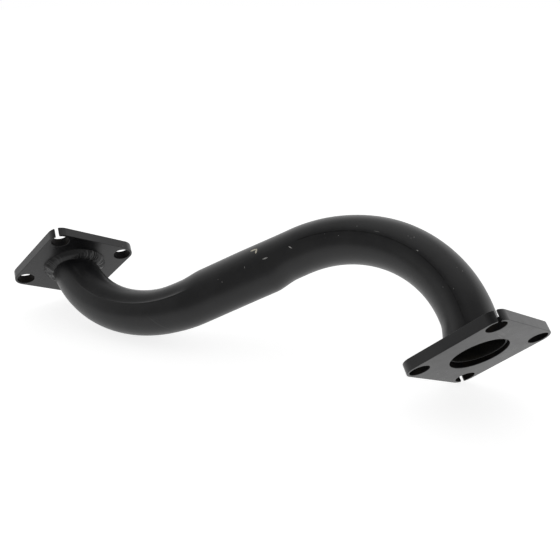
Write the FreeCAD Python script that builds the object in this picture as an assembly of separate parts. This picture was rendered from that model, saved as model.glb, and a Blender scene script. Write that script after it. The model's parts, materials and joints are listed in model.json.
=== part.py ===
import FreeCAD, Part
import math
import os

Vec = FreeCAD.Vector

# Lengths are in millimetres and angles in degrees.
# Both flanges are squares of the same flat bar.
FLANGE_SIDE = 80.0
FLANGE_THICKNESS = 8.0
FLANGE_CORNER_RADIUS = 10.5
BOLT_SPACING = 61.0
BOLT_HOLE_DIAMETER = 14.5
CORNER_SLOT_WIDTH = 3.0

# One drawn tube runs from flange to flange. It is sawn square at the turbo end, and level with the flange
# at the exhaust end.
TUBE_DIAMETER = 41.3
TUBE_WALL = 1.5
SOCKET_CLEARANCE = 0.6
TURBO_END_RECESS = 3.1
EXHAUST_END_RECESS = 4.0

# Centreline, from the mating face of the turbo flange to that of the exhaust flange.
TURBO_STUB = 28.5
TURBO_BEND_RADIUS = 96.5
TURBO_BEND_ANGLE = 91.7
MIDDLE_LENGTH = 96.7
EXHAUST_BEND_RADIUS = 103.8
EXHAUST_BEND_ANGLE = 80.2
EXHAUST_STUB = 4.0

# How each flange sits on its end of the tube: it leans in the plane of the bends, and turns in its own plane.
TURBO_FLANGE_LEAN = -2.6
EXHAUST_FLANGE_LEAN = 9.0
TURBO_FLANGE_CLOCKING = 112.1
EXHAUST_FLANGE_CLOCKING = -23.7

# The press that made the bends flattened the inner side of the tube.
PRESSED_FLAT = 3.3
TURBO_STUB_RAMP = 18.0
TURBO_BEND_RAMP = 31.0
EXHAUST_BEND_RAMP = 13.0
DRESSED_END_ANGLE = 8.0
DRESSED_END_STEPS = 2

# Fillet weld round the tube on the back of each flange.
WELD_LEG = 5.5
WELD_BULGE = 0.5
WELD_RIPPLE_HEIGHT = 0.45
WELD_WANDER_HEIGHT = 0.5
WELD_RIPPLES = 26
WELD_WANDERS = 3

# Roughly the way that points down as it lies, in the frame of the bends.
FIRST_DOWN = Vec(-1, 1, -1)
REST_ROUNDS = 60

FULL_TURN = 360.0
QUARTERS = 4

TUBE_RADIUS = TUBE_DIAMETER / 2
BOLT_HOLE_RADIUS = BOLT_HOLE_DIAMETER / 2
SOCKET_RADIUS = TUBE_RADIUS + SOCKET_CLEARANCE


class Station:
    """A place on the centreline: its point, the way the tube runs there, and the side that is pressed."""

    def __init__(self, point, heading, pressed):
        self.point = point
        self.heading = heading
        self.pressed = pressed

    def across(self):
        """The direction across the tube, square to the plane of the bends."""
        return self.heading.cross(self.pressed)

    def moved(self, length):
        """The station a straight length further on."""
        return Station(self.point + self.heading * length, self.heading, self.pressed)

    def turned(self, radius, angle):
        """The station further on round a bend towards the pressed side."""
        centre = self.bend_centre(radius)
        turn = FreeCAD.Rotation(self.across(), angle)
        point = centre + turn.multVec(self.point - centre)
        return Station(point, turn.multVec(self.heading), turn.multVec(self.pressed))

    def bend_centre(self, radius):
        """Centre of a bend of this radius that starts here."""
        return self.point + self.pressed * radius

    def pressed_other_side(self):
        """The same place, pressed on the other side, as where an S changes its sense."""
        return Station(self.point, self.heading, self.pressed * -1)

    def heading_back(self):
        """The same place, with the tube followed the other way."""
        return Station(self.point, self.heading * -1, self.pressed)


class Bend:
    """An arc of the centreline."""

    def __init__(self, start, radius, angle):
        self.start = start
        self.radius = radius
        self.angle = angle
        self.centre = start.bend_centre(radius)
        self.end = start.turned(radius, angle)

    def lowest_point(self, down):
        """The point of the tube's outer skin round this bend that lies furthest along down."""
        axis = self.start.across()
        outwards = self.start.pressed * -1
        in_plane = down - axis * down.dot(axis)
        swing = math.degrees(math.atan2(axis.dot(outwards.cross(in_plane)), outwards.dot(in_plane)))
        station = self.start.turned(self.radius, min(max(swing, 0), self.angle))
        in_section = down - station.heading * down.dot(station.heading)
        return station.point + in_section.normalize() * TUBE_RADIUS


class Flange:
    """Where a flange lies: the centre of its mating face, its outward normal and two sides of its square."""

    def __init__(self, station, lean, clocking):
        """The station runs out of the tube, and the flange leans off square in the plane of the bends."""
        tip = FreeCAD.Rotation(station.across(), lean)
        self.centre = station.point
        self.normal = tip.multVec(station.heading)
        clock = FreeCAD.Rotation(self.normal, clocking)
        self.side_x = clock.multVec(tip.multVec(station.pressed))
        self.side_y = self.normal.cross(self.side_x)

    def placement(self):
        """Carries the flange's own frame, mating face on z = 0 and metal below it, to its place."""
        turn = FreeCAD.Rotation(self.side_x, self.side_y, self.normal, "ZXY")
        return FreeCAD.Placement(self.centre, turn)

    def lowest_point(self, down):
        """The point of the flange's rounded corners that lies furthest along down."""
        reach = FLANGE_SIDE / 2 - FLANGE_CORNER_RADIUS
        flat = down - self.normal * down.dot(self.normal)
        corner_edge = flat.normalize() * FLANGE_CORNER_RADIUS
        depth = 0 if down.dot(self.normal) > 0 else FLANGE_THICKNESS
        along_x = math.copysign(reach, down.dot(self.side_x))
        along_y = math.copysign(reach, down.dot(self.side_y))
        corner = self.side_x * along_x + self.side_y * along_y
        return self.centre + corner + corner_edge - self.normal * depth


def section(station, skin_depth, pressed_flat):
    """Wire across the tube, a depth inside its skin: the outer half round, the pressed half an ellipse."""
    radius = TUBE_RADIUS - skin_depth
    left = station.point + station.across() * radius
    right = station.point - station.across() * radius
    back = station.point - station.pressed * radius
    front = station.point + station.pressed * (radius - pressed_flat)
    round_half = Part.Arc(left, back, right).toShape()
    if pressed_flat > 0:
        ellipse = Part.Ellipse(right, front, station.point)
        pressed_half = Part.ArcOfEllipse(ellipse, 0, math.pi).toShape()
    else:
        pressed_half = Part.Arc(right, front, left).toShape()
    return Part.Wire([round_half, pressed_half])


def straight_run(station, length, skin_depth):
    """Solid round tube of a straight length."""
    return Part.Face(section(station, skin_depth, 0)).extrude(station.heading * length)


def bend_run(bend, skin_depth):
    """Solid pressed tube round a bend."""
    face = Part.Face(section(bend.start, skin_depth, PRESSED_FLAT))
    return face.revolve(bend.centre, bend.start.across(), bend.angle)


def ramp_run(stations, flats, skin_depth):
    """Solid tube between stations where the pressed side ramps in or out."""
    wires = [section(station, skin_depth, flat) for station, flat in zip(stations, flats)]
    return Part.makeLoft(wires, True, True)


class Centreline:
    """The whole path of the tube, in the plane of its bends, which is x-y here."""

    def __init__(self):
        self.start = Station(Vec(0, 0, 0), Vec(1, 0, 0), Vec(0, 1, 0))
        self.turbo_bend = Bend(self.start.moved(TURBO_STUB), TURBO_BEND_RADIUS, TURBO_BEND_ANGLE)
        middle_end = self.turbo_bend.end.moved(MIDDLE_LENGTH).pressed_other_side()
        self.exhaust_bend = Bend(middle_end, EXHAUST_BEND_RADIUS, EXHAUST_BEND_ANGLE)
        self.turbo_end = self.start.heading_back()
        self.exhaust_end = self.exhaust_bend.end.moved(EXHAUST_STUB)

    def turbo_flange(self):
        """Where the turbo flange lies."""
        return Flange(self.turbo_end, TURBO_FLANGE_LEAN, TURBO_FLANGE_CLOCKING)

    def exhaust_flange(self):
        """Where the exhaust flange lies."""
        return Flange(self.exhaust_end, EXHAUST_FLANGE_LEAN, EXHAUST_FLANGE_CLOCKING)

    def runs(self, skin_depth):
        """The tube filled in, a depth inside its skin and longer than the finished tube, as one solid per run."""
        first = self.turbo_bend.start
        last = self.exhaust_bend.end
        ramp_in = first.moved(-TURBO_STUB_RAMP)
        ramp_out = self.turbo_bend.end.moved(TURBO_BEND_RAMP)
        second_in = self.exhaust_bend.start.moved(-EXHAUST_BEND_RAMP)
        plain_length = MIDDLE_LENGTH - TURBO_BEND_RAMP - EXHAUST_BEND_RAMP
        entry_length = TURBO_STUB - TURBO_STUB_RAMP + FLANGE_THICKNESS
        pressed_angle = EXHAUST_BEND_ANGLE - DRESSED_END_ANGLE
        pressed_part = Bend(self.exhaust_bend.start, EXHAUST_BEND_RADIUS, pressed_angle)
        dressed = []
        flats = []
        for i in range(DRESSED_END_STEPS + 1):
            share = i / DRESSED_END_STEPS
            dressed.append(pressed_part.end.turned(EXHAUST_BEND_RADIUS, DRESSED_END_ANGLE * share))
            flats.append(PRESSED_FLAT * (1 - share))
        return [
            straight_run(ramp_in.moved(-entry_length), entry_length, skin_depth),
            ramp_run([ramp_in, first], [0, PRESSED_FLAT], skin_depth),
            bend_run(self.turbo_bend, skin_depth),
            ramp_run([self.turbo_bend.end, ramp_out], [PRESSED_FLAT, 0], skin_depth),
            straight_run(ramp_out, plain_length, skin_depth),
            ramp_run([second_in, self.exhaust_bend.start], [0, PRESSED_FLAT], skin_depth),
            bend_run(pressed_part, skin_depth),
            ramp_run(dressed, flats, skin_depth),
            straight_run(last, EXHAUST_STUB + FLANGE_THICKNESS, skin_depth),
        ]

    def solid(self, skin_depth):
        """All runs in one solid."""
        runs = self.runs(skin_depth)
        return runs[0].fuse(runs[1:])


def slab(low, high):
    """Square block wider than a flange, from z = low to z = high in a flange's own frame."""
    width = 2 * FLANGE_SIDE
    return Part.makeBox(width, width, high - low, Vec(-FLANGE_SIDE, -FLANGE_SIDE, low))


def rounded_square(height):
    """Face with rounded corners at this height, centred on the z axis."""
    half = FLANGE_SIDE / 2
    reach = half - FLANGE_CORNER_RADIUS
    slant = FLANGE_CORNER_RADIUS * math.sqrt(0.5)
    edges = []
    for quarter in range(QUARTERS):
        turn = FreeCAD.Rotation(Vec(0, 0, 1), quarter * FULL_TURN / QUARTERS)
        low = turn.multVec(Vec(half, -reach, height))
        high = turn.multVec(Vec(half, reach, height))
        middle = turn.multVec(Vec(reach + slant, reach + slant, height))
        far = turn.multVec(Vec(reach, half, height))
        edges += [Part.makeLine(low, high), Part.Arc(high, middle, far).toShape()]
    return Part.Face(Part.Wire(edges))


def flange_plate():
    """A flange in its own frame: its socket, its bolt holes and the saw slots at two opposite corners."""
    half = FLANGE_SIDE / 2
    bottom = Vec(0, 0, -FLANGE_THICKNESS)
    plate = rounded_square(-FLANGE_THICKNESS).extrude(bottom * -1)
    cuts = [Part.makeCylinder(SOCKET_RADIUS, FLANGE_THICKNESS, bottom)]
    reach = BOLT_SPACING / 2
    for x in (-reach, reach):
        for y in (-reach, reach):
            cuts.append(Part.makeCylinder(BOLT_HOLE_RADIUS, FLANGE_THICKNESS, bottom + Vec(x, y, 0)))
            if x * y < 0:
                low_corner = Vec(0, -CORNER_SLOT_WIDTH / 2, 0)
                slot = Part.makeBox(half, CORNER_SLOT_WIDTH, FLANGE_THICKNESS, low_corner)
                slot.rotate(Vec(0, 0, 0), Vec(0, 0, 1), math.degrees(math.atan2(y, x)))
                slot.translate(bottom + Vec(x, y, 0))
                cuts.append(slot)
    return plate.cut(cuts)


def bead_section(angle, leg, slope):
    """Closed wire through a weld bead at this angle round the tube, on a plate that slopes up along x."""
    root = TUBE_RADIUS - TUBE_WALL
    bulge = leg / 2 + WELD_BULGE
    spread = TUBE_WALL * (leg - bulge) / bulge
    outline = [
        (root, -TUBE_WALL),
        (TUBE_RADIUS + leg + spread, -TUBE_WALL),
        (TUBE_RADIUS + bulge, bulge),
        (root, leg + spread),
    ]
    turn = FreeCAD.Rotation(Vec(0, 0, 1), angle)
    points = []
    for radius, height in outline:
        point = turn.multVec(Vec(radius, 0, height))
        points.append(point + Vec(0, 0, slope * point.x))
    return Part.makePolygon(points + points[:1])


def bead_leg(index):
    """Leg length of the bead at this half ripple: even and odd ones differ, and the whole bead wanders."""
    ripple = WELD_RIPPLE_HEIGHT * (index % 2)
    wander = WELD_WANDER_HEIGHT * math.sin(math.pi * WELD_WANDERS * index / WELD_RIPPLES)
    return WELD_LEG + ripple + wander


def weld_bead(slope):
    """Rippled ring of weld, with its root left for the tube and the flange to trim."""
    count = 2 * WELD_RIPPLES
    step = FULL_TURN / count
    wires = [bead_section(step * i, bead_leg(i % count), slope) for i in range(count + 1)]
    first_half = Part.makeLoft(wires[:WELD_RIPPLES + 1], True, True)
    second_half = Part.makeLoft(wires[WELD_RIPPLES:], True, True)
    return first_half.fuse(second_half)


def weld(flange, tube_end, tube_runs):
    """The weld on the back of a flange, trimmed by the flange and the tube's runs; the tube end heads outwards."""
    inwards = tube_end.heading * -1
    steepness = tube_end.heading.dot(flange.normal)
    back = tube_end.moved(-FLANGE_THICKNESS / steepness)
    bead = weld_bead(tube_end.pressed.dot(flange.normal) / steepness)
    turn = FreeCAD.Rotation(back.pressed, inwards.cross(back.pressed), inwards, "ZXY")
    bead.Placement = FreeCAD.Placement(back.point, turn)
    metal = slab(-FLANGE_THICKNESS, FLANGE_SIDE)
    metal.Placement = flange.placement()
    for solid in [metal] + tube_runs:
        bead = bead.cut(solid)
    return bead


def resting_down(pieces):
    """The direction that points down when three pieces each touch the table with their lowest point."""
    down = FIRST_DOWN
    for _ in range(REST_ROUNDS):
        first, second, third = [piece.lowest_point(down) for piece in pieces]
        square = (second - first).cross(third - first).normalize()
        down = square if square.dot(down) > 0 else square * -1
    return down


def resting_placement(line):
    """Lays the pipe on the table: +Z up, +X from the exhaust flange to the turbo flange, table at z = 0."""
    turbo = line.turbo_flange()
    exhaust = line.exhaust_flange()
    down = resting_down([turbo, exhaust, line.exhaust_bend])
    up = down * -1
    along = turbo.centre - exhaust.centre
    along = (along - up * along.dot(up)).normalize()
    turn = FreeCAD.Rotation(along, up.cross(along), up, "ZXY").inverted()
    height = -turn.multVec(turbo.lowest_point(down)).z
    return FreeCAD.Placement(Vec(0, 0, height), turn)


def build():
    """All pieces by name, lying on the table with the origin under the middle of their outline."""
    line = Centreline()
    turbo = line.turbo_flange()
    exhaust = line.exhaust_flange()
    square_end = Flange(line.turbo_end, 0, 0)
    tube_runs = line.runs(0)
    ends = []
    for face, recess in ((square_end, TURBO_END_RECESS), (exhaust, EXHAUST_END_RECESS)):
        end = slab(-recess, FLANGE_SIDE)
        end.Placement = face.placement()
        ends.append(end)
    tube = line.solid(0).cut(line.solid(TUBE_WALL)).cut(ends)
    pieces = {"bent_tube": tube}
    for name, flange, tube_end in (("turbo", turbo, line.turbo_end), ("exhaust", exhaust, line.exhaust_end)):
        plate = flange_plate()
        plate.Placement = flange.placement()
        pieces[name + "_flange"] = plate
        pieces[name + "_flange_weld"] = weld(flange, tube_end, tube_runs)
    resting = resting_placement(line)
    for shape in pieces.values():
        shape.Placement = resting.multiply(shape.Placement)
    box = Part.makeCompound(list(pieces.values())).optimalBoundingBox(False, False)
    middle = Vec(-box.Center.x, -box.Center.y, 0)
    for shape in pieces.values():
        shape.translate(middle)
    return pieces


def main():
    """Writes each piece to its own file."""
    os.makedirs("parts", exist_ok=True)
    for name, shape in build().items():
        shape.exportStep("parts/" + name + ".step")


main()
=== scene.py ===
"""Looks of a turbo downpipe: a bent tube, two bolted flanges and their welds, all in satin black paint."""

import json
import logging
import math
from collections.abc import Iterable
from dataclasses import dataclass, field
from enum import Enum
from functools import reduce

import bmesh
import bpy
import numpy as np
from bpy.types import ID, Material, Mesh, Node, NodeOutputs, NodeTree, Object
from bpy.types import NodeSocket as Socket
from mathutils import Matrix, Vector


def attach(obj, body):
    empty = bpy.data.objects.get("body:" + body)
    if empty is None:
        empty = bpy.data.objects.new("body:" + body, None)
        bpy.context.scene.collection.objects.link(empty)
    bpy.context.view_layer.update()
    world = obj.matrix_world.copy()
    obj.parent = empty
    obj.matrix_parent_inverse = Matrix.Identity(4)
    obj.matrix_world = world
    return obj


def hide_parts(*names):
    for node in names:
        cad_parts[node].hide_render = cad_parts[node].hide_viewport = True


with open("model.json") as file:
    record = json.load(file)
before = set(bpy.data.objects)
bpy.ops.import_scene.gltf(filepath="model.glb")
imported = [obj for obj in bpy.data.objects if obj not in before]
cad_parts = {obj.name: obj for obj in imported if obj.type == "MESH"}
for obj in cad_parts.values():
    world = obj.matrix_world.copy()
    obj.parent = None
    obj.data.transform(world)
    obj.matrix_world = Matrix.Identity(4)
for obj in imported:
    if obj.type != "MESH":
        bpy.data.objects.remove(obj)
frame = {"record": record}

LOG = logging.getLogger("downpipe")
MM = 0.001
FULL_TURN = 2 * math.pi
WHITE = (1.0, 1.0, 1.0, 1.0)
NOISE_MIDDLE = 0.5

Array = np.ndarray
Pair = tuple[float, float]
Triple = tuple[float, float, float]


class Port(Enum):
    """The two ends of the pipe, by the name that starts their nodes and mounts."""

    TURBO = "turbo"
    EXHAUST = "exhaust"

    @property
    def inwards(self) -> int:
        """1 where the path runs into the pipe from this end, and -1 where it comes out."""
        return 1 if self is Port.TURBO else -1


class Mark(Enum):
    """Kinds of mark on the paint, by how soft their edge is."""

    CHIP = 0.25
    SMEAR = 1.0


# Vector helpers, all on whole arrays.


def unit(vectors: Array) -> Array:
    """Scales one vector, or rows of vectors, to length one."""
    return vectors / np.linalg.norm(vectors, axis=-1, keepdims=True)


def turned(vector: Array, axis: Array, degrees: float) -> Array:
    """Turns a vector about an axis of length one, by the right-hand rule.

    Args:
        vector: The vector to turn.
        axis: The axis, of length one.
        degrees: How far to turn.

    Returns:
        The turned vector: v cos a + (axis x v) sin a + axis (axis . v)(1 - cos a).
    """
    angle = math.radians(degrees)
    along = axis * (axis @ vector) * (1 - math.cos(angle))
    return vector * math.cos(angle) + np.cross(axis, vector) * math.sin(angle) + along


def smooth_step(values: Array) -> Array:
    """Eases 0 to 1 with level ends: t t (3 - 2 t), held outside that range."""
    t = np.clip(values, 0, 1)
    return t * t * (3 - 2 * t)


def circle(angle: Array, centre: float, radius: float) -> Array:
    """Points at these angles of a circle whose centre has the same x and y: centre + radius (cos, sin)."""
    return centre + radius * np.stack([np.cos(angle), np.sin(angle)], axis=-1)


def rounding(radius: float, steps: int) -> tuple[Array, Array]:
    """A rounded edge, as a quarter circle: radius (1 - cos a) down one face and radius (1 - sin a) off it."""
    quarter = np.linspace(0, math.pi / 2, steps + 1)
    return radius * (1 - np.cos(quarter)), radius * (1 - np.sin(quarter))


def bell(around: Array, at: float, width: float) -> Array:
    """A bell curve round a ring: exp(-(turn / width)^2), with the shorter turn from at. Both in degrees."""
    away = np.angle(np.exp(1j * (around - math.radians(at)))) / math.radians(width)
    return np.exp(-away ** 2)


def waves(around: Array, counts: tuple[int, ...], seed: int) -> Array:
    """Even, seeded unevenness round a closed ring.

    Args:
        around: Angles round the ring, in radians.
        counts: How many waves each layer has in a full turn.
        seed: Seed of the phases.

    Returns:
        The mean of one cosine for each layer, from -1 to 1.
    """
    phases = np.random.default_rng(seed).uniform(0, FULL_TURN, len(counts))
    layers = [np.cos(count * around + phase) for count, phase in zip(counts, phases)]
    return np.mean(layers, axis=0)


def mount_place(port: Port) -> tuple[Array, Array]:
    """Centre of a flange's mating face in millimetres, and its outward normal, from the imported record."""
    bolts = next(mount for mount in frame["record"]["mounts"] if mount["name"] == port.value + "_bolts")
    return np.array(bolts["pos_m"]) / MM, unit(np.array(bolts["axis"]))


# Meshes and objects.


def grid_faces(rows: int, columns: int, rows_close: bool) -> Array:
    """Quads of a grid of points whose columns close on themselves.

    Args:
        rows: Number of rows of points.
        columns: Number of points in a row.
        rows_close: Whether the last row joins the first.

    Returns:
        Four point numbers for each quad, with faces outward when rows run along the axis
        that the columns turn about by the right-hand rule.
    """
    row = np.arange(rows if rows_close else rows - 1)[:, None]
    here, above = row * columns, (row + 1) % rows * columns
    column = np.arange(columns)
    beside = (column + 1) % columns
    corners = [here + column, here + beside, above + beside, above + column]
    return np.stack(corners, axis=-1).reshape(-1, 4)


def make_mesh(name: str, points: Array, faces: Array) -> Mesh:
    """Puts points in millimetres and quads into a mesh in metres.

    Args:
        name: Name of the mesh.
        points: Rows of x, y, z.
        faces: Four point numbers for each quad.

    Returns:
        The mesh, smooth shaded.
    """
    mesh = bpy.data.meshes.new(name)
    mesh.vertices.add(len(points))
    mesh.vertices.foreach_set("co", (points * MM).astype(np.float32).ravel())
    mesh.loops.add(faces.size)
    mesh.loops.foreach_set("vertex_index", faces.astype(np.int32).ravel())
    mesh.polygons.add(len(faces))
    mesh.polygons.foreach_set("loop_start", np.arange(0, faces.size, 4, dtype=np.int32))
    mesh.polygons.foreach_set("use_smooth", np.ones(len(faces), dtype=bool))
    mesh.update(calc_edges=True)
    mesh.validate()
    return mesh


def give_uv(mesh: Mesh, corner_uv: Array) -> None:
    """Gives a mesh its own map, with one pair of values for each face corner."""
    layer = mesh.uv_layers.new(name="surface_map")
    layer.data.foreach_set("uv", corner_uv.astype(np.float32).ravel())


def add_object(name: str, data: ID) -> Object:
    """Adds an object to the scene.

    Args:
        name: Its name.
        data: Its mesh, camera or lamp.

    Returns:
        The object, at the origin.
    """
    added = bpy.data.objects.new(name, data)
    bpy.context.scene.collection.objects.link(added)
    return added


def make_piece(name: str, mesh: Mesh, node: str) -> Object:
    """Adds a mesh to the scene as a piece that stands for a CAD node.

    Args:
        name: Name of the piece.
        mesh: Its mesh, in the row's frame.
        node: The CAD node that it replaces.

    Returns:
        The piece.
    """
    piece = add_object(name, mesh)
    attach(piece, "root")
    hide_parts(node)
    return piece


# Shader building blocks.


class Nodes:
    """Short ways to add and join shader nodes in one tree. A value is a socket, a number or a colour."""

    def __init__(self, tree: NodeTree) -> None:
        """Works on this tree."""
        self.tree = tree

    def add(self, kind: str, **settings: object) -> Node:
        """Adds a node.

        Args:
            kind: Its type, without the word that starts them all.
            settings: Its attributes.

        Returns:
            The node.
        """
        node = self.tree.nodes.new("ShaderNode" + kind)
        for key, value in settings.items():
            setattr(node, key, value)
        return node

    def feed(self, pairs: Iterable[tuple[Socket, object]]) -> None:
        """Joins inputs to their sockets, and sets those that have a number or colour.

        Args:
            pairs: Each input with its value.
        """
        for target, value in pairs:
            if isinstance(value, Socket):
                self.tree.links.new(value, target)
            else:
                target.default_value = value

    def put(self, node: Node, *ordered: object, **named: object) -> Node:
        """Feeds a node.

        Args:
            node: The node.
            ordered: Values of its first inputs.
            named: Values of inputs by name, with _ for a space.

        Returns:
            The node.
        """
        self.feed(zip(node.inputs, ordered))
        self.feed((node.inputs[key.replace("_", " ")], value) for key, value in named.items())
        return node

    def group(self, tree: NodeTree, **named: object) -> NodeOutputs:
        """Places a group with these values, and gives its outputs."""
        return self.put(self.add("Group", node_tree=tree), **named).outputs

    def math(self, operation: str, *values: object) -> Socket:
        """One step of arithmetic."""
        return self.put(self.add("Math", operation=operation), *values).outputs[0]

    def product(self, *values: object) -> Socket:
        """All of these values multiplied together."""
        return reduce(lambda first, second: self.math("MULTIPLY", first, second), values)

    def split(self, vector: Socket) -> list[Socket]:
        """The x, y and z of a vector, or the red, green and blue of a colour."""
        return list(self.put(self.add("SeparateXYZ"), vector).outputs)

    def range(self, value: object, low: object, high: float, out_low: float, out_high: float) -> Socket:
        """Maps low to high smoothly onto out_low to out_high, held at both ends."""
        node = self.add("MapRange", interpolation_type="SMOOTHSTEP")
        return self.put(node, value, low, high, out_low, out_high).outputs["Result"]

    def noise(self, vector: Socket, scale: object, detail: float, roughness: float) -> Socket:
        """Fractal noise at a scale in waves per metre, from about 0.25 to 0.75."""
        node = self.put(self.add("TexNoise"), Vector=vector, Scale=scale, Detail=detail, Roughness=roughness)
        return node.outputs["Fac"]

    def mix(self, factor: object, first: object, second: object) -> Socket:
        """Mixes two colours.

        Args:
            factor: The second colour's share.
            first: A socket, or red, green and blue.
            second: The same.

        Returns:
            The mixed colour.
        """
        node = self.add("Mix", data_type="RGBA")
        colours = [value if isinstance(value, Socket) else (*value, 1.0) for value in (first, second)]
        self.feed(zip((node.inputs[0], node.inputs[6], node.inputs[7]), (factor, *colours)))
        return node.outputs[2]


def new_group(name: str, inputs: dict[str, float], outputs: tuple[str, ...]) -> tuple[Nodes, dict, Node]:
    """Starts a shader node group.

    Args:
        name: Name of the group.
        inputs: Number inputs by name, with their usual values; Vector is added first.
        outputs: Names of the outputs, all numbers.

    Returns:
        The group's node helper, its input sockets by name, and the node that takes what it puts out.
    """
    tree = bpy.data.node_groups.new(name, "ShaderNodeTree")
    tree.interface.new_socket("Vector", in_out="INPUT", socket_type="NodeSocketVector")
    for key, value in inputs.items():
        socket = tree.interface.new_socket(key, in_out="INPUT", socket_type="NodeSocketFloat")
        socket.default_value = value
    for key in outputs:
        tree.interface.new_socket(key, in_out="OUTPUT", socket_type="NodeSocketFloat")
    entry = tree.nodes.new("NodeGroupInput")
    return Nodes(tree), dict(entry.outputs.items()), tree.nodes.new("NodeGroupOutput")


def paint_grain_group() -> NodeTree:
    """Spray texture of satin paint: a fine orange peel, a slow unevenness, and roughness that goes with it.

    Returns:
        The group, whose height is peel times its amount plus unevenness times its own.
    """
    names = {"Peel Scale": 700.0, "Peel": 1.0, "Waviness": 1.0}
    nodes, given, leave = new_group("paint_grain", names, ("Height", "Roughness Shift", "Tone"))
    peel = nodes.noise(given["Vector"], scale=given["Peel Scale"], detail=3.0, roughness=0.55)
    slow = nodes.noise(given["Vector"], scale=45.0, detail=2.0, roughness=0.5)
    cloud = nodes.noise(given["Vector"], scale=120.0, detail=4.0, roughness=0.6)
    tone = nodes.noise(given["Vector"], scale=30.0, detail=5.0, roughness=0.65)
    height = nodes.math("ADD", nodes.product(peel, given["Peel"]), nodes.product(slow, given["Waviness"]))
    nodes.put(leave, height, nodes.math("SUBTRACT", cloud, NOISE_MIDDLE), tone)
    return nodes.tree


def dust_group() -> NodeTree:
    """Scattered specks of pale dust: small round dots in random cells, most of which stay empty.

    Returns:
        The group. Each cell's own random colour gives its chance, its speck's size and its strength.
    """
    least_size = 0.3
    names = {"Scale": 260.0, "Share": 0.03, "Size": 0.12}
    nodes, given, leave = new_group("dust_specks", names, ("Mask",))
    cells = nodes.add("TexVoronoi", feature="F1")
    nodes.put(cells, Vector=given["Vector"], Scale=given["Scale"])
    chance, size, strength = nodes.split(cells.outputs["Color"])
    chosen = nodes.math("LESS_THAN", chance, given["Share"])
    reach = nodes.product(given["Size"], nodes.math("ADD", size, least_size))
    inside = nodes.math("LESS_THAN", cells.outputs["Distance"], reach)
    nodes.put(leave, nodes.product(chosen, inside, strength))
    return nodes.tree


def mark_group() -> NodeTree:
    """One mark on a surface map: an ellipse at a place, turned, with a ragged edge.

    Returns:
        The group. Its mask fades as (u / length)^2 + (v / width)^2, made ragged, goes from the edge out.
    """
    edge = 0.25
    names = {"Along": 0.0, "Across": 0.0, "Angle": 0.0, "Length": 0.002, "Width": 0.0005, "Softness": 0.25}
    nodes, given, leave = new_group("paint_mark", names, ("Mask",))
    along, across, _ = nodes.split(given["Vector"])
    x = nodes.math("SUBTRACT", along, given["Along"])
    y = nodes.math("SUBTRACT", across, given["Across"])
    cosine = nodes.math("COSINE", given["Angle"])
    sine = nodes.math("SINE", given["Angle"])
    u = nodes.math("ADD", nodes.product(x, cosine), nodes.product(y, sine))
    v = nodes.math("SUBTRACT", nodes.product(y, cosine), nodes.product(x, sine))
    squares = [nodes.math("POWER", nodes.math("DIVIDE", run, given[key]), 2.0)
               for run, key in ((u, "Length"), (v, "Width"))]
    noise = nodes.noise(given["Vector"], scale=1800.0, detail=2.0, roughness=0.6)
    ragged = nodes.math("ADD", nodes.math("ADD", *squares), nodes.math("SUBTRACT", noise, NOISE_MIDDLE))
    nodes.put(leave, nodes.range(ragged, nodes.math("ADD", given["Softness"], edge), edge, 0.0, 1.0))
    return nodes.tree


class Groups:
    """The shared effects, each built once."""

    def __init__(self) -> None:
        """Builds all three."""
        self.grain = paint_grain_group()
        self.dust = dust_group()
        self.mark = mark_group()


# Finishes.


PRIMER = (0.75, 0.70, 0.56)
SCRATCH = (0.60, 0.59, 0.57)


@dataclass(frozen=True)
class PaintMark:
    """A mark on a piece's surface map, in millimetres and degrees."""

    along: float
    across: float
    length: float
    width: float
    angle: float
    strength: float
    kind: Mark = Mark.CHIP
    tint: Triple = SCRATCH


@dataclass(frozen=True)
class CreaseLine:
    """Painted shade with some dirt in a crease that runs along the surface map: where it starts, ends and
    lies, in millimetres.
    """

    start: float
    end: float
    across: float
    width: float
    strength: float
    fade: float = 15.0

    def mask(self, nodes: Nodes, surface_map: Socket) -> Socket:
        """A band along the map, soft at its sides and ends, and uneven along its length.

        Args:
            nodes: The material's node helper.
            surface_map: The piece's own map.

        Returns:
            The mask, from 0 to the line's strength.
        """
        along, across, _ = nodes.split(surface_map)
        off = nodes.math("ABSOLUTE", nodes.math("SUBTRACT", across, self.across * MM))
        band = nodes.range(off, self.width / 4 * MM, self.width * 3 / 4 * MM, self.strength, 0.0)
        lead = nodes.range(along, self.start * MM, (self.start + self.fade) * MM, 0.0, 1.0)
        tail = nodes.range(along, (self.end - self.fade) * MM, self.end * MM, 1.0, 0.0)
        patches = nodes.noise(surface_map, scale=130.0, detail=3.0, roughness=0.6)
        uneven = nodes.range(patches, low=0.35, high=0.55, out_low=0.5, out_high=1.0)
        return nodes.product(band, uneven, lead, tail)


def new_material(name: str) -> tuple[Material, Nodes, Node]:
    """Starts a material.

    Args:
        name: Its name.

    Returns:
        The material, its node helper and its shader.
    """
    made = bpy.data.materials.new(name)
    made.use_nodes = True
    return made, Nodes(made.node_tree), made.node_tree.nodes["Principled BSDF"]


@dataclass(frozen=True)
class Finish:
    """What all finishes of the pipe share: a gloss, and a grain in the roughness and the bump."""

    name: str
    roughness: float = 0.34
    roughness_spread: float = 0.16
    gloss: float = 0.5
    peel_scale: float = 700.0
    peel: float = 0.25
    waviness: float = 1.0
    bump_mm: float = 0.12


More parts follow.
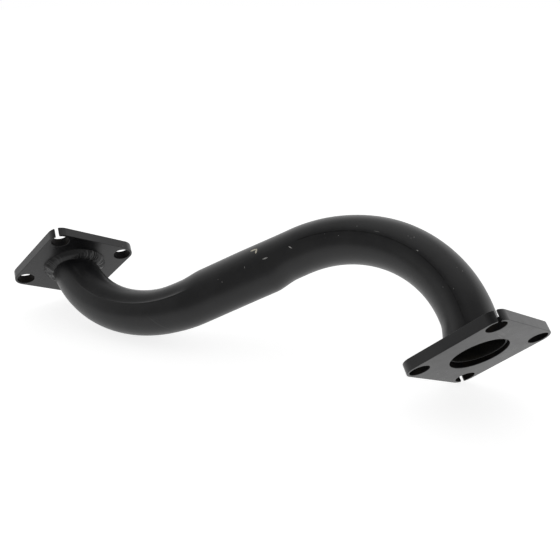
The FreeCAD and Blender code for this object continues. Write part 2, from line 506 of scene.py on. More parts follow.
class Coat:
    """A material under way, on Object coordinates, with the gloss, grain and bump of its finish."""

    def __init__(self, finish: Finish, groups: Groups) -> None:
        """Starts the material.

        Args:
            finish: Whose values it takes.
            groups: The shared effects.
        """
        self.made, self.nodes, self.shader = new_material(finish.name)
        nodes, places = self.nodes, self.nodes.add("TexCoord").outputs
        self.place, self.surface_map = places["Object"], places["UV"]
        self.grain = nodes.group(groups.grain, Vector=self.place, Peel_Scale=finish.peel_scale,
                                 Peel=finish.peel, Waviness=finish.waviness)
        shift = nodes.product(self.grain["Roughness Shift"], finish.roughness_spread)
        self.rough = nodes.math("ADD", shift, finish.roughness)
        bump = nodes.put(nodes.add("Bump"), Height=self.grain["Height"], Distance=finish.bump_mm * MM,
                         Strength=1.0).outputs["Normal"]
        nodes.put(self.shader, Roughness=self.rough, Normal=bump, Specular_IOR_Level=finish.gloss)


@dataclass(frozen=True)
class SatinPaint(Finish):
    """Satin black paint: its two tones, the dust on it, the marks that it has taken and, where given, painted
    shade with some dirt along a crease.
    """

    dark: Triple = (0.006, 0.006, 0.007)
    pale: Triple = (0.015, 0.015, 0.016)
    dust: Triple = (0.30, 0.29, 0.28)
    dust_share: float = 0.03
    dust_strength: float = 0.5
    mark_roughness: float = 0.2
    marks: tuple[PaintMark, ...] = ()
    crease: CreaseLine | None = None

    def material(self, groups: Groups) -> Material:
        """Builds the material.

        Args:
            groups: The shared effects.

        Returns:
            The material, with Object coordinates for the paint and the piece's own map for its marks.
        """
        coat = Coat(self, groups)
        nodes = coat.nodes
        tone = nodes.range(coat.grain["Tone"], low=0.35, high=0.65, out_low=0.0, out_high=1.0)
        colour = nodes.mix(tone, self.dark, self.pale)
        specks = nodes.group(groups.dust, Vector=coat.place, Share=self.dust_share)
        colour = nodes.mix(nodes.product(specks["Mask"], self.dust_strength), colour, self.dust)
        if self.crease:
            # Painted shade with some dirt: along the crease the colour turns black and the gloss goes.
            crease_shade_and_dirt = self.crease.mask(nodes, coat.surface_map)
            colour = nodes.mix(crease_shade_and_dirt, colour, (0.0, 0.0, 0.0))
            nodes.put(coat.shader, Specular_IOR_Level=nodes.range(crease_shade_and_dirt, 0.0, 1.0, self.gloss, 0.0))
        rough = coat.rough
        for mark in self.marks:
            spot = nodes.group(
                groups.mark, Vector=coat.surface_map, Along=mark.along * MM, Across=mark.across * MM,
                Angle=math.radians(mark.angle), Length=mark.length * MM / 2, Width=mark.width * MM / 2,
                Softness=mark.kind.value)
            seen = nodes.product(spot["Mask"], mark.strength)
            colour = nodes.mix(seen, colour, mark.tint)
            rough = nodes.math("ADD", rough, nodes.product(seen, self.mark_roughness))
        nodes.put(coat.shader, Base_Color=colour, Roughness=rough)
        return coat.made


@dataclass(frozen=True)
class PatchySteel(Finish):
    """Steel that the spray hardly reached, in two tones that lie in patches."""

    roughness_spread: float = 0.3
    waviness: float = 0.5
    bump_mm: float = 0.2
    ground: Triple = (0.042, 0.042, 0.040)
    patch: Triple = (0.022, 0.020, 0.014)
    patch_scale: float = 70.0
    patch_detail: float = 5.0
    patch_roughness: float = 0.7
    patch_range: Pair = (0.40, 0.62)
    metal: Pair | None = None

    def material(self, groups: Groups) -> Material:
        """Builds the material.

        Args:
            groups: The shared effects.

        Returns:
            The material, on Object coordinates.
        """
        coat = Coat(self, groups)
        nodes = coat.nodes
        cloud = nodes.noise(coat.place, self.patch_scale, self.patch_detail, self.patch_roughness)
        patches = nodes.range(cloud, *self.patch_range, out_low=0.0, out_high=1.0)
        nodes.put(coat.shader, Base_Color=nodes.mix(patches, self.ground, self.patch))
        if self.metal:
            nodes.put(coat.shader, Metallic=nodes.range(patches, 0.0, 1.0, *self.metal))
        return coat.made


@dataclass(frozen=True)
class BareBore(PatchySteel):
    """The unpainted inside of the tube: dark drawn steel with a brown bloom and some overspray."""

    name: str = "bare_bore_steel"
    roughness: float = 0.40
    peel_scale: float = 400.0
    peel: float = 0.5
    metal: Pair = (0.75, 0.25)


@dataclass(frozen=True)
class HoleWallShadeAndRust(PatchySteel):
    """The walls of the drilled holes and the sockets: nearly black and with little gloss, as painted shade
    inside the holes, with patches of brown rust.
    """

    roughness: float = 0.55
    gloss: float = 0.12
    peel_scale: float = 500.0
    peel: float = 0.8
    ground: Triple = (0.004, 0.004, 0.005)
    patch: Triple = (0.012, 0.0095, 0.0075)
    patch_scale: float = 160.0
    patch_detail: float = 4.0
    patch_roughness: float = 0.65
    patch_range: Pair = (0.42, 0.62)


# The pipe.


@dataclass(frozen=True)
class SideShape:
    """A height along the path, eased from each knot to the next. A knot is a place and its height."""

    knots: tuple[Pair, ...]

    def at(self, length: Array) -> Array:
        """Reads the height.

        Args:
            length: Lengths along the path.

        Returns:
            The heights: between two knots they ease with level ends, and outside the knots they are held.
        """
        places, heights = np.array(self.knots).T
        span = np.clip(np.searchsorted(places, length, side="right") - 1, 0, len(places) - 2)
        share = (length - places[span]) / (places[span + 1] - places[span])
        return heights[span] + (heights[span + 1] - heights[span]) * smooth_step(share)


@dataclass
class Centreline:
    """The path of the tube from one mating face to the other, in millimetres and degrees.

    It lies in one plane: straight, bend, straight, bend the other way, straight.
    """

    turbo_stub: float = 28.5
    turbo_radius: float = 96.5
    turbo_angle: float = 91.7
    middle: float = 96.7
    exhaust_radius: float = 103.8
    exhaust_angle: float = 80.2
    exhaust_stub: float = 4.0
    turbo_lean: float = -2.6
    exhaust_lean: float = 9.0
    start: Array = field(init=False)
    heading: Array = field(init=False)
    across: Array = field(init=False)
    left: Array = field(init=False)

    def __post_init__(self) -> None:
        """Takes the plane of the bends from the two mating faces."""
        self.start, normal = mount_place(Port.TURBO)
        far_end, _ = mount_place(Port.EXHAUST)
        self.across = unit(np.cross(far_end - self.start, normal))
        self.heading = turned(-normal, self.across, self.turbo_lean)
        self.left = np.cross(self.across, self.heading)

    @property
    def stations(self) -> Array:
        """Lengths along the path at which each of its five stretches ends."""
        bends = np.radians([self.turbo_angle, self.exhaust_angle]) * [self.turbo_radius, self.exhaust_radius]
        return np.cumsum([self.turbo_stub, bends[0], self.middle, bends[1], self.exhaust_stub])

    def follow(self, length: Array) -> tuple[Array, Array, Array]:
        """Walks along the path.

        The heading's angle is the length round the first bend over its radius, less that round the second.
        Each stretch adds its own run: a straight adds its length along its heading, and a bend its radius
        times the change of the sine and of the cosine.

        Args:
            length: Lengths from the turbo mating face, of any shape.

        Returns:
            Points, headings and left-hand directions, each with three values more than length's shape.
        """
        first, second, third, fourth, _ = self.stations
        whole = math.radians(self.turbo_angle)
        one = np.clip((length - first) / self.turbo_radius, 0, whole)
        two = np.clip((length - third) / self.exhaust_radius, 0, math.radians(self.exhaust_angle))
        plain = np.clip(length - second, 0, self.middle)
        tail = np.maximum(length - fourth, 0)
        angle = one - two
        x = np.minimum(length, first) + self.turbo_radius * np.sin(one) + plain * math.cos(whole)
        x = x + self.exhaust_radius * (math.sin(whole) - np.sin(whole - two)) + tail * np.cos(angle)
        y = self.turbo_radius * (1 - np.cos(one)) + plain * math.sin(whole)
        y = y + self.exhaust_radius * (np.cos(whole - two) - math.cos(whole)) + tail * np.sin(angle)
        points = self.start + x[..., None] * self.heading + y[..., None] * self.left
        cosine, sine = np.cos(angle)[..., None], np.sin(angle)[..., None]
        return points, cosine * self.heading + sine * self.left, cosine * self.left - sine * self.heading

    def end(self, port: Port) -> tuple[Array, Array, Array]:
        """One end of the path, with the directions into the pipe and towards its pressed side."""
        spot, heading, left = self.follow(np.array(0.0 if port is Port.TURBO else self.stations[-1]))
        return spot, port.inwards * heading, port.inwards * left


@dataclass
class BentTube:
    """The drawn tube, press bent, with its two sawn ends inside the flanges. Sizes in millimetres.

    The press flattens the inner side of each bend, and a little of the outer side. Its die leaves a line
    where the pressed half meets the round half: a small step round the first bend, a ridge round the second.
    """

    line: Centreline
    diameter: float = 41.3
    wall: float = 1.5
    turbo_recess: float = 3.1
    exhaust_recess: float = 4.0
    end_search: float = 20.0
    end_tries: int = 201
    end_round: float = 0.3
    flat: float = 3.3
    half_pressed: float = 0.6
    outer_flat: float = 0.8
    crease_bulge: float = 0.15
    die_lead: float = 12.0
    step_depth: float = 0.12
    step_fade: float = 7.0
    ridge_height: float = 0.38
    die_line_width: float = 0.55
    shoulder_drop: float = 0.6
    shoulder_width: float = 3.0
    shoulder_fade: float = 10.0
    rows: int = 430
    bore_rows: int = 150
    sparse_columns: int = 36
    dense_columns: int = 18
    dense_reach: float = 6.0
    rim_steps: int = 3
    left_shape: SideShape = field(init=False)
    right_shape: SideShape = field(init=False)
    step: SideShape = field(init=False)
    ridge: SideShape = field(init=False)

    def __post_init__(self) -> None:
        """Sets the press on each side, and the die line, at places measured from where stretches meet."""
        first, second, third, fourth, _ = self.line.stations
        flat, outer, lead = self.flat, self.outer_flat, self.die_lead
        self.left_shape = SideShape((
            (first - 18, 0), (first, flat), (second + 10, flat), (second + 29, -self.crease_bulge),
            (second + 50, 0), (third - 5, 0), (third + 22, outer), (third + 100, 0)))
        self.right_shape = SideShape((
            (first + 70, 0), (first + 120, outer), (second + 5, outer), (second + 50, 0), (third - 17, 0),
            (third + 1, self.half_pressed * flat), (third + 30, flat), (fourth - 14, flat), (fourth, 0)))
        self.step = SideShape(((first - lead, 0), (first, 1), (second - lead, 1), (second + 4, 0)))
        self.ridge = SideShape(((third - lead, 0), (third + 8, 1), (fourth - 60, 1), (fourth - 30, 0)))

    def press_at(self, port: Port, inwards: Array) -> Array:
        """How far the pressed side is pressed, at distances inwards from the mating face of an end."""
        turbo, exhaust = self.left_shape.at(inwards), self.right_shape.at(self.line.stations[-1] - inwards)
        return turbo if port is Port.TURBO else exhaust

    def angles(self) -> Array:
        """Spaces the columns of points, which are closer together at the two die lines.

        Returns:
            Angles round the section from the across direction, from about -180 to 180 degrees in radians.
        """
        reach = math.radians(self.dense_reach)
        dense = np.linspace(-reach, reach, self.dense_columns, endpoint=False)
        sparse = np.linspace(reach, math.pi - reach, self.sparse_columns, endpoint=False)
        half = np.concatenate([dense, sparse])
        return np.concatenate([half - math.pi, half])

    def skin(self, length: Array, angle: Array, depth: Array) -> Array:
        """Points of the tube's wall.

        Each section is centre + across a cos(angle) + left b sin(angle), with a the radius and b the radius
        less the press on that side. The ridge is a bell curve of the distance from the die line, the step is
        a quick drop on the pressed side, and both sides' drops come back slowly further from the line.

        Args:
            length: Lengths along the path.
            angle: Angles round the section.
            depth: Depths below the outer skin.

        Returns:
            Points, with three values more than the common shape.
        """
        points, _, left = self.line.follow(length)
        radius = self.diameter / 2 - depth
        on_left = np.sin(angle) > 0
        press = np.where(on_left, self.left_shape.at(length), self.right_shape.at(length))
        away = self.diameter / 2 * np.abs(np.arcsin(np.clip(np.sin(angle), -1, 1)))
        ridge, step = self.ridge.at(length), self.step.at(length)
        raised = self.ridge_height * ridge * np.exp(-(away / self.die_line_width) ** 2)
        shoulder = smooth_step(away / self.shoulder_width)
        shoulder = shoulder * (1 - smooth_step((away - self.shoulder_width) / self.shoulder_fade))
        ledge = smooth_step(away / self.die_line_width) * (1 - smooth_step(away / self.step_fade))
        dropped = np.where(on_left, self.step_depth * step * ledge, self.shoulder_drop * ridge * shoulder)
        outward = (raised - dropped) * (depth == 0)
        across = (radius + outward) * np.cos(angle)
        aside = (radius - press + outward) * np.sin(angle)
        return points + across[..., None] * self.line.across + aside[..., None] * left

    def end_length(self, port: Port, angle: Array, depth: float) -> Array:
        """Length along the path at which the wall meets a sawn end.

        The turbo end is sawn square to the tube, and the exhaust end parallel to its mating face.

        Args:
            port: Which end.
            angle: Angles round the section.
            depth: Depth below the outer skin.

        Returns:
            One length for each angle, at the exhaust end where the height above the sawn plane passes zero.
        """
        if port is Port.TURBO:
            return np.full(len(angle), self.turbo_recess)
        centre, normal = mount_place(port)
        tries = self.line.stations[-1] - np.linspace(0, self.end_search, self.end_tries)
        grid_length, grid_angle = np.meshgrid(tries, angle, indexing="ij")
        points = self.skin(grid_length, grid_angle, np.full_like(grid_length, depth))
        below = -((points - centre) @ normal) - self.exhaust_recess
        row = np.argmax(below > 0, axis=0)
        column = np.arange(len(angle))
        before, after = below[row - 1, column], below[row, column]
        return tries[row - 1] + (tries[row] - tries[row - 1]) * before / (before - after)

    def surface(self) -> tuple[Array, Array, Array]:
        """Works out the closed wall: along the skin, over one rim, back along the bore and over the other.

        Rows of a wall are spaced evenly between its two ends. Those of a rim go round a quarter circle at
        each of its two edges.

        Returns:
            The points, the map of each point as length along and length round, and the depth of each row.
        """
        angle = self.angles()
        skin, bore = 0.0, self.wall
        ends = {(port, depth): self.end_length(port, angle, depth) for port in Port for depth in (skin, bore)}
        down, off = rounding(self.end_round, self.rim_steps)
        off = np.concatenate([off[1:], off[:0:-1]])[:, None]
        lengths, depths = [], []
        for near, far, depth, other, count in ((Port.TURBO, Port.EXHAUST, skin, bore, self.rows),
                                               (Port.EXHAUST, Port.TURBO, bore, skin, self.bore_rows)):
            low, high = (ends[port, depth] + port.inwards * self.end_round for port in (near, far))
            rim = np.repeat([ends[far, depth], ends[far, other]], self.rim_steps, axis=0)
            lengths += [low + (high - low) * np.linspace(0, 1, count)[:, None], rim + far.inwards * off]
            through = math.copysign(1, other - depth)
            depths += [np.full(count, depth), depth + through * down[1:], other - through * down[:0:-1]]
        length, depth = np.concatenate(lengths), np.concatenate(depths)
        points = self.skin(length, np.broadcast_to(angle, length.shape),
                           np.broadcast_to(depth[:, None], length.shape))
        round_map = np.broadcast_to(angle * self.diameter / 2, length.shape)
        return points, np.stack([length, round_map], axis=-1) * MM, depth

    def build(self, paint: Material, bore: Material) -> Object:
        """Makes the tube and paints it.

        Args:
            paint: Finish of the outside and of the sawn ends.
            bore: Finish of the inside.

        Returns:
            The piece.
        """
        points, surface_map, depth = self.surface()
        rows, columns = points.shape[:2]
        faces = grid_faces(rows, columns, rows_close=True)[:, ::-1]
        mesh = make_mesh("bent_tube_skin", points.reshape(-1, 3), faces)
        corner_uv = surface_map.reshape(-1, 2)[faces]
        whole_turn = math.pi * self.diameter * MM
        wraps = np.ptp(corner_uv[:, :, 1], axis=1) > whole_turn / 2
        corner_uv[:, :, 1] += np.where(wraps[:, None] & (corner_uv[:, :, 1] < 0), whole_turn, 0)
        give_uv(mesh, corner_uv)
        mesh.materials.append(paint)
        mesh.materials.append(bore)
        in_bore = np.repeat(depth >= self.wall, columns)
        mesh.polygons.foreach_set("material_index", in_bore.astype(np.int32))
        return make_piece("painted_tube", mesh, "bent_tube")


@dataclass
class Flange:
    """A square flange of flat bar, in its own frame with the mating face on z = 0. Sizes in millimetres."""

    line: Centreline
    port: Port
    clocking: float
    side: float = 80.0
    thickness: float = 8.0
    corner_radius: float = 10.5
    bolt_spacing: float = 61.0
    bolt_hole: float = 14.5
    slot_width: float = 3.0
    socket_diameter: float = 42.5
    hole_margin: float = 0.05
    edge_round: float = 0.35
    least_mitre: float = 0.5
    edge_steps: int = 4
    corner_steps: int = 16
    hole_steps: int = 48
    socket_steps: int = 96

    def axes(self) -> Array:
        """Turns the flange from the pressed side by its lean, and then by its clocking.

        Returns:
            The flange's x, y and z directions, as rows.
        """
        _, normal = mount_place(self.port)
        _, _, pressed = self.line.end(self.port)
        lean = self.line.turbo_lean if self.port is Port.TURBO else self.line.exhaust_lean
        side_x = turned(turned(pressed, -self.line.across, lean), normal, self.clocking)
        return np.array([side_x, np.cross(normal, side_x), normal])

    def corner(self, quarter: int) -> Array:
        """One corner of the outline, with its saw slot and hole where it has them.

        The corner is worked out on the diagonal at 45 degrees and turned to its quarter. A slotted one runs
        round the corner arc to the slot, in to the hole, round the hole and out again.

        Args:
            quarter: Which corner, from 0 at +x +y. The odd ones are slotted.

        Returns:
            Its points, anticlockwise.
        """
        reach = self.side / 2 - self.corner_radius
        diagonal, quarter_turn = math.pi / 4, math.pi / 2
        if quarter % 2 == 0:
            points = circle(np.linspace(0, quarter_turn, self.corner_steps), reach, self.corner_radius)
        else:
            gap = math.asin(self.slot_width / 2 / self.corner_radius)
            mouth = math.asin(self.slot_width / self.bolt_hole)
            before = np.linspace(0, diagonal - gap, self.corner_steps // 2)
            after = np.linspace(diagonal + gap, quarter_turn, self.corner_steps // 2)
            back = np.linspace(diagonal - mouth, diagonal + mouth - FULL_TURN, self.hole_steps)
            points = np.concatenate([circle(before, reach, self.corner_radius),
                                     circle(back, self.bolt_spacing / 2, self.bolt_hole / 2),
                                     circle(after, reach, self.corner_radius)])
        turn = quarter * quarter_turn
        rotation = np.array([[math.cos(turn), -math.sin(turn)], [math.sin(turn), math.cos(turn)]])
        return points @ rotation.T

    def loops(self) -> list[Array]:
        """Draws the plate as loops of points.

        Returns:
            The outline first, then the socket and the two plain holes, all anticlockwise.
        """
        outline = np.concatenate([self.corner(quarter) for quarter in range(4)])
        rings = [(0.0, self.socket_diameter, self.socket_steps)]
        rings += [(sign * self.bolt_spacing / 2, self.bolt_hole, self.hole_steps) for sign in (1, -1)]
        return [outline] + [circle(np.linspace(0, FULL_TURN, steps, endpoint=False), centre, diameter / 2)
                            for centre, diameter, steps in rings]

    def walls(self) -> tuple[Array, Array, Array]:
        """Works out the walls round the outline and the holes, in the flange's own frame.

        Each loop becomes a wall: its points, shifted along their own normals by the edge round, at the
        heights of a quarter circle, a straight and another quarter circle.

        Returns:
            The points, four point numbers for each quad, and which points lie on the mating face.
        """
        drop, shift = rounding(self.edge_round, self.edge_steps)
        heights = np.concatenate([-drop, drop[::-1] - self.thickness])
        shifts = np.concatenate([shift, shift[::-1]])
        points, faces, on_face, count = [], [], [], 0
        for index, loop in enumerate(self.loops()):
            ahead = unit(np.roll(loop, -1, axis=0) - loop)
            both = ahead + np.roll(ahead, 1, axis=0)
            inwards = unit(np.stack([-both[:, 1], both[:, 0]], axis=-1))
            lean = np.sum(inwards * np.stack([-ahead[:, 1], ahead[:, 0]], axis=-1), axis=1)
            mitre = 1 / np.maximum(lean, self.least_mitre)
            towards_metal = inwards * mitre[:, None] * (1 if index == 0 else -1)
            flat = loop + shifts[:, None, None] * towards_metal
            rows, columns = flat.shape[:2]
            tall = np.broadcast_to(heights[:, None, None], (rows, columns, 1))
            quads = grid_faces(rows, columns, rows_close=False)
            points.append(np.concatenate([flat, tall], axis=-1).reshape(-1, 3))
            faces.append(count + (quads[:, ::-1] if index == 0 else quads))
            on_face.append(np.arange(rows * columns) < columns)
            count += rows * columns
        return np.concatenate(points), np.concatenate(faces), np.concatenate(on_face)

    def in_hole(self, centres: Array) -> Array:
        """Finds the wall of the bolt holes and of the socket.

        Args:
            centres: Centres of faces, in the flange's own frame.

        Returns:
            Which of them lie on it.
        """
        x, y, z = centres.T
        bolt = np.hypot(np.abs(x) - self.bolt_spacing / 2, np.abs(y) - self.bolt_spacing / 2)
        at_bolt = bolt < self.bolt_hole / 2 + self.hole_margin
        at_socket = np.hypot(x, y) < self.socket_diameter / 2 + self.hole_margin
        return (z < -self.edge_round) & (z > self.edge_round - self.thickness) & (at_bolt | at_socket)

    def build(self, paint: Material, wall: Material) -> Object:
        """Makes the flange and paints it: the walls as one array, then flat faces that close the two ends.

        Args:
            paint: Its finish.
            wall: Finish of the holes' walls.

        Returns:
            The piece.
        """
        centre, _ = mount_place(self.port)
        points, faces, on_face = self.walls()
        name = self.port.value + "_flange"
        mesh = make_mesh(name + "_plate", centre + points @ self.axes(), faces)
        mesh.polygons.foreach_set("material_index", self.in_hole(points[faces].mean(axis=1)).astype(np.int32))
        plate = bmesh.new()
        plate.from_mesh(mesh)
        open_edges = [edge for edge in plate.edges if edge.is_boundary]
        for front in (True, False):
            cap = [edge for edge in open_edges if on_face[edge.verts[0].index] == front]
            bmesh.ops.triangle_fill(plate, use_beauty=True, use_dissolve=False, edges=cap)
        for face in plate.faces:
            face.smooth = True
        bmesh.ops.recalc_face_normals(plate, faces=plate.faces)
        plate.to_mesh(mesh)
        plate.free()
        corners = np.zeros(len(mesh.loops), dtype=np.int32)
        mesh.loops.foreach_get("vertex_index", corners)
        give_uv(mesh, points[corners, :2] * MM)
        mesh.materials.append(paint)
        mesh.materials.append(wall)
        piece = make_piece("painted_" + name, mesh, name)
        weighted = piece.modifiers.new("flat_faces", "WEIGHTED_NORMAL")
        weighted.mode = "FACE_AREA"
        weighted.weight = 100
        return piece


@dataclass
class WeldBead:
    """The fillet weld on the back of a flange, with its ripples, its wander and its lumps.

    Sizes are in millimetres and angles in degrees. A lump has its angle, its width and its height.
    """

    tube: BentTube
    flange: Flange
    seed: int
    lumps: tuple[Triple, ...] = ()
    leg: float = 5.6
    bulge: float = 0.8
    sink: float = 0.35
    wander: float = 0.55
    wander_waves: tuple[int, ...] = (1, 2, 3, 5, 8)
    ripple_count: int = 43
    ripple_height: float = 0.6
    ripple_rise: float = 0.82
    ripple_lag: float = 0.55
    height_spread: float = 0.7
    height_waves: tuple[int, ...] = (5, 9, 13)
    spacing_spread: float = 0.9
    spacing_waves: tuple[int, ...] = (4, 7, 11, 17)
    calm_at: float = 75.0
    calm_width: float = 42.0
    calm_share: float = 0.8
    toe_ripple: float = 0.25
    toe_fade: float = 2.2
    columns: int = 516
    profile_steps: int = 14

    def reach(self, around: Array, share: Array) -> Array:
        """Distance of the bead's face from the corner between the tube and the plate.

        It is that of a straight fillet, leg / (cos a + sin a), plus a bulge that is largest in the middle,
        plus ripples: a saw wave round the ring whose phase lags in the middle, so that each ripple is a
        crescent. The ripples are nearly gone where the bead was laid calmly.

        Args:
            around: Angles round the ring, in radians.
            share: Places from the tube toe, 0, to the plate toe, 1, as a column.

        Returns:
            One distance for each place and angle.
        """
        angle, middle = share * math.pi / 2, np.sin(share * math.pi)
        leg = self.leg + self.wander * waves(around, self.wander_waves, self.seed)
        for at, width, height in self.lumps:
            leg = leg + height * bell(around, at, width)
        spacing = self.spacing_spread * waves(around, self.spacing_waves, self.seed + 1)
        spread = 1 + self.height_spread * waves(around, self.height_waves, self.seed + 2)
        calm = 1 - self.calm_share * bell(around, self.calm_at, self.calm_width)
        saw = (self.ripple_count * around / FULL_TURN + spacing + self.ripple_lag * middle) % 1
        ripple = np.minimum(saw / self.ripple_rise, (1 - saw) / (1 - self.ripple_rise)) - 1 / 2
        ripple = ripple * np.minimum(1, self.toe_fade * middle + self.toe_ripple)
        fillet = leg / (np.cos(angle) + np.sin(angle)) + self.bulge * leg / self.leg * middle
        return fillet + self.ripple_height * calm * spread * ripple

    def build(self, paint: Material) -> Object:
        """Makes the bead and paints it.

        A point of its face lies reach sin a out from the tube and reach cos a up from the plate, with a from
        the tube toe, 0, to the plate toe, 90 degrees. The root is sunk into both. The tube toe follows the
        pressed side, and the ring leans with the plate.

        Args:
            paint: Its finish.

        Returns:
            The piece.
        """
        port, thickness = self.flange.port, self.flange.thickness
        _, normal = mount_place(port)
        spot, inwards, pressed = self.tube.line.end(port)
        steepness = -inwards @ normal
        back = spot + inwards * thickness / steepness
        slope = (pressed @ normal) / steepness
        side = np.cross(inwards, pressed)

        around = np.linspace(0, FULL_TURN, self.columns, endpoint=False)
        share = np.linspace(0, 1, self.profile_steps)[:, None]
        reach = self.reach(around, share)
        out, up = reach * np.sin(share * math.pi / 2), reach * np.cos(share * math.pi / 2)
        root = np.full((1, self.columns), -self.sink)
        out = np.concatenate([root, out, out[-1:], root])
        up = np.concatenate([up[:1], up, root, root])
        press = self.tube.press_at(port, thickness + np.maximum(up, 0))
        radius = self.tube.diameter / 2 - press * np.clip(np.cos(around), 0, 1) ** 2 + out
        x, y = radius * np.cos(around), radius * np.sin(around)
        height = up + slope * x
        points = back + x[..., None] * pressed + y[..., None] * side + height[..., None] * inwards

        faces = grid_faces(len(points), self.columns, rows_close=True)[:, ::-1]
        name = port.value + "_flange_weld"
        mesh = make_mesh(name + "_bead", points.reshape(-1, 3), faces)
        surface_map = np.meshgrid(around * self.tube.diameter / 2, np.arange(len(points)))
        give_uv(mesh, np.stack(surface_map, axis=-1).reshape(-1, 2)[faces] * MM)
        mesh.materials.append(paint)
        return make_piece("painted_" + name, mesh, name)


# The set.


def aimed(at: Triple, towards: Vector) -> Matrix:
    """The place of a camera or lamp that looks in a direction, with its top up."""
    return Matrix.Translation(at) @ towards.to_track_quat("-Z", "Y").to_matrix().to_4x4()


@dataclass
class Studio:
    """Floor, backdrop, lamp and camera. Places in metres, angles in degrees."""

    camera_at: Triple = (0.28113, -0.45300, 0.27761)
    camera_aim: Triple = (-0.45542, 0.80277, -0.38491)
    camera_roll: float = -0.94
    focal_px: float = 729.35
    picture_px: float = 560.0
    sensor: float = 36.0
    nearest: float = 0.01
    furthest: float = 100.0
    floor_size: float = 12.0
    floor_colour: Triple = (0.55, 0.55, 0.55)
    floor_roughness: float = 0.9
    floor_fill: float = 0.80
    near_gloss_fill: float = 0.68
    far_gloss_fill: float = 0.10
    gloss_range: Pair = (-0.42, -0.02)
    front_light: float = 0.34
    front_range: Pair = (-0.45, 0.8)
    top_light: float = 0.45
    top_range: Pair = (0.4, 0.92)
    lamp_at: Triple = (0.1, 0.2, 1.6)
    lamp_aim: Triple = (0.0, 0.0, 0.05)
    lamp_size: float = 1.6
    lamp_power: float = 3.0

    def camera(self) -> None:
        """Places the camera that the photograph was taken with, rolled about its own line of sight."""
        data = bpy.data.cameras.new("photo_camera")
        data.sensor_width = self.sensor
        data.lens = self.focal_px / self.picture_px * self.sensor
        data.clip_start, data.clip_end = self.nearest, self.furthest
        camera = add_object("photo_camera", data)
        roll = Matrix.Rotation(math.radians(self.camera_roll), 4, "Z")
        camera.matrix_world = aimed(self.camera_at, Vector(self.camera_aim)) @ roll
        bpy.context.scene.camera = camera

    def floor(self) -> None:
        """Lays a wide pale floor that shows nearly white, with its gloss darker towards the camera."""
        corners = np.array([[-1, -1, 0], [1, -1, 0], [1, 1, 0], [-1, 1, 0]]) * self.floor_size / 2 / MM
        mesh = make_mesh("studio_floor", corners, np.array([[0, 1, 2, 3]]))
        floor = add_object("studio_floor", mesh)
        made, nodes, shader = new_material("studio_white")
        rays = nodes.add("LightPath").outputs
        clear = nodes.math("MAXIMUM", rays["Is Glossy Ray"], rays["Is Transmission Ray"])
        _, depth, _ = nodes.split(nodes.add("TexCoord").outputs["Object"])
        gloss_fill = nodes.range(depth, *self.gloss_range, self.far_gloss_fill, self.near_gloss_fill)
        shown = nodes.product(rays["Is Camera Ray"], self.floor_fill)
        fill = nodes.math("ADD", shown, nodes.product(clear, gloss_fill))
        nodes.put(shader, Base_Color=(*self.floor_colour, 1.0), Roughness=self.floor_roughness,
                  Specular_IOR_Level=0.0, Emission_Color=WHITE, Emission_Strength=fill)
        mesh.materials.append(made)

    def world(self) -> None:
        """Lights the set like a white tent that is darker on the camera's side, with white behind."""
        world = bpy.data.worlds.new("studio_tent")
        bpy.context.scene.world = world
        world.use_nodes = True
        nodes = Nodes(world.node_tree)
        place = nodes.add("TexCoord").outputs["Generated"]
        towards = Vector(self.camera_aim).normalized() * -1
        side = nodes.put(nodes.add("VectorMath", operation="DOT_PRODUCT"), place, towards)
        _, _, height = nodes.split(place)
        front = nodes.range(side.outputs["Value"], *self.front_range, 1.0, self.front_light)
        roof = nodes.range(height, *self.top_range, 1.0, self.top_light)
        rays = nodes.add("LightPath").outputs
        seen = nodes.math("MAXIMUM", rays["Is Camera Ray"], nodes.product(front, roof))
        nodes.put(world.node_tree.nodes["Background"], Color=WHITE, Strength=seen)

    def lamp(self) -> None:
        """Hangs a square area lamp that points at the middle of the pipe."""
        data = bpy.data.lights.new("overhead_softbox", "AREA")
        data.size = self.lamp_size
        data.energy = self.lamp_power
        lamp = add_object("overhead_softbox", data)
        lamp.matrix_world = aimed(self.lamp_at, Vector(self.lamp_aim) - Vector(self.lamp_at))

    def build(self) -> None:
        """Sets up everything that isn't the object."""
        self.floor()
        self.world()
        self.lamp()
        self.camera()
        bpy.context.scene.view_settings.view_transform = "Standard"


# The marks and lumps of this pipe.


TUBE_MARKS = (
    PaintMark(213.1, -9.2, 8.2, 2.8, -5.0, 1.0, tint=PRIMER),
    PaintMark(210.9, -6.6, 7.8, 2.4, 73.0, 1.0, tint=PRIMER),
    PaintMark(205.5, 3.4, 6.2, 1.7, -7.0, 0.8),
    PaintMark(184.2, 4.2, 5.6, 1.3, -59.0, 0.95),
    PaintMark(223.3, 3.1, 2.6, 0.7, 73.0, 0.6),
    PaintMark(80.9, -1.2, 2.4, 1.0, 10.0, 0.7),
    PaintMark(115.1, -1.9, 7.0, 0.7, 2.0, 0.25),
    PaintMark(304.7, 20.0, 20.0, 1.6, -56.0, 0.025, Mark.SMEAR),
)
TUBE_SPECKS = ((155.2, 1.6), (144.1, 4.6), (130.8, -3.9), (90.7, -6.8), (93.4, -7.2), (89.7, -8.8),
               (54.8, -12.5), (51.3, -14.5), (42.5, -1.6), (47.5, 4.6), (246.6, 3.1), (244.2, 6.3))
SPECK_LENGTHS = (1.0, 1.3, 1.6)
SPECK_WIDTHS = (0.7, 0.9)
SPECK_TURN = 40.0
SPECK_STRENGTH = 0.38
# Painted shade with some dirt along the die line of the first bend.
DIE_CREASE = CreaseLine(start=10.0, end=185.0, across=0.4, width=1.2, strength=0.42)
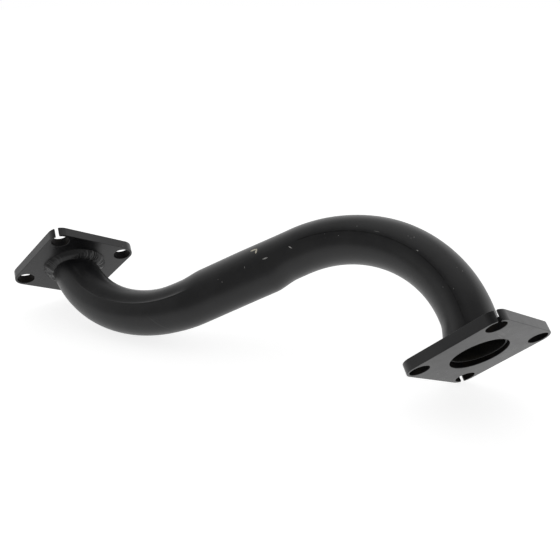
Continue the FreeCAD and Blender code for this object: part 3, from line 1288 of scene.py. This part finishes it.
FACE_MARKS = (
    PaintMark(-17.0, 26.0, 20.0, 3.0, -8.0, 0.10, Mark.SMEAR),
    PaintMark(-11.0, 22.5, 12.0, 1.2, -12.0, 0.12, Mark.SMEAR),
)
EXHAUST_LUMPS = ((128, 9, 1.3), (150, 7, 1.0), (112, 6, 0.6), (350, 8, 0.9), (8, 5, 0.7), (22, 4, 0.6),
                 (60, 14, 0.5), (215, 10, 0.5))


def tube_marks() -> tuple[PaintMark, ...]:
    """The scratches, then the round specks, whose length, width and angle vary evenly along the list."""
    specks = [PaintMark(*place, SPECK_LENGTHS[i % 3], SPECK_WIDTHS[i % 2], SPECK_TURN * i, SPECK_STRENGTH)
              for i, place in enumerate(TUBE_SPECKS)]
    return TUBE_MARKS + tuple(specks)


def main() -> None:
    """Builds the pipe's pieces in order, then the set."""
    logging.basicConfig(level=logging.INFO, format="%(name)s: %(message)s")
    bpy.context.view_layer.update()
    groups = Groups()
    line = Centreline()
    tube = BentTube(line)
    turbo = Flange(line, Port.TURBO, clocking=112.1, slot_width=2.4)
    exhaust = Flange(line, Port.EXHAUST, clocking=-23.7)
    ends = ((turbo, WeldBead(tube, turbo, seed=7, calm_at=250.0), FACE_MARKS),
            (exhaust, WeldBead(tube, exhaust, seed=5, lumps=EXHAUST_LUMPS), ()))
    coat = SatinPaint("satin_black_tube", marks=tube_marks(), crease=DIE_CREASE)
    pieces = [tube.build(coat.material(groups), BareBore().material(groups))]
    for flange, bead, marks in ends:
        name = flange.port.value
        paint = SatinPaint("satin_black_" + name + "_flange", roughness=0.30, gloss=0.54, marks=marks)
        # The hole walls are nearly black with little gloss: painted shade inside the holes, with some rust.
        walls = HoleWallShadeAndRust(name + "_hole_wall_shade_and_rust")
        pieces.append(flange.build(paint.material(groups), walls.material(groups)))
        paint = SatinPaint("painted_" + name + "_weld", roughness=0.31, gloss=0.48)
        pieces.append(bead.build(paint.material(groups)))
    for piece in pieces:
        LOG.info("made %s with %d faces", piece.name, len(piece.data.polygons))
    Studio().build()
    bpy.context.view_layer.update()


if __name__ == "__main__":
    main()
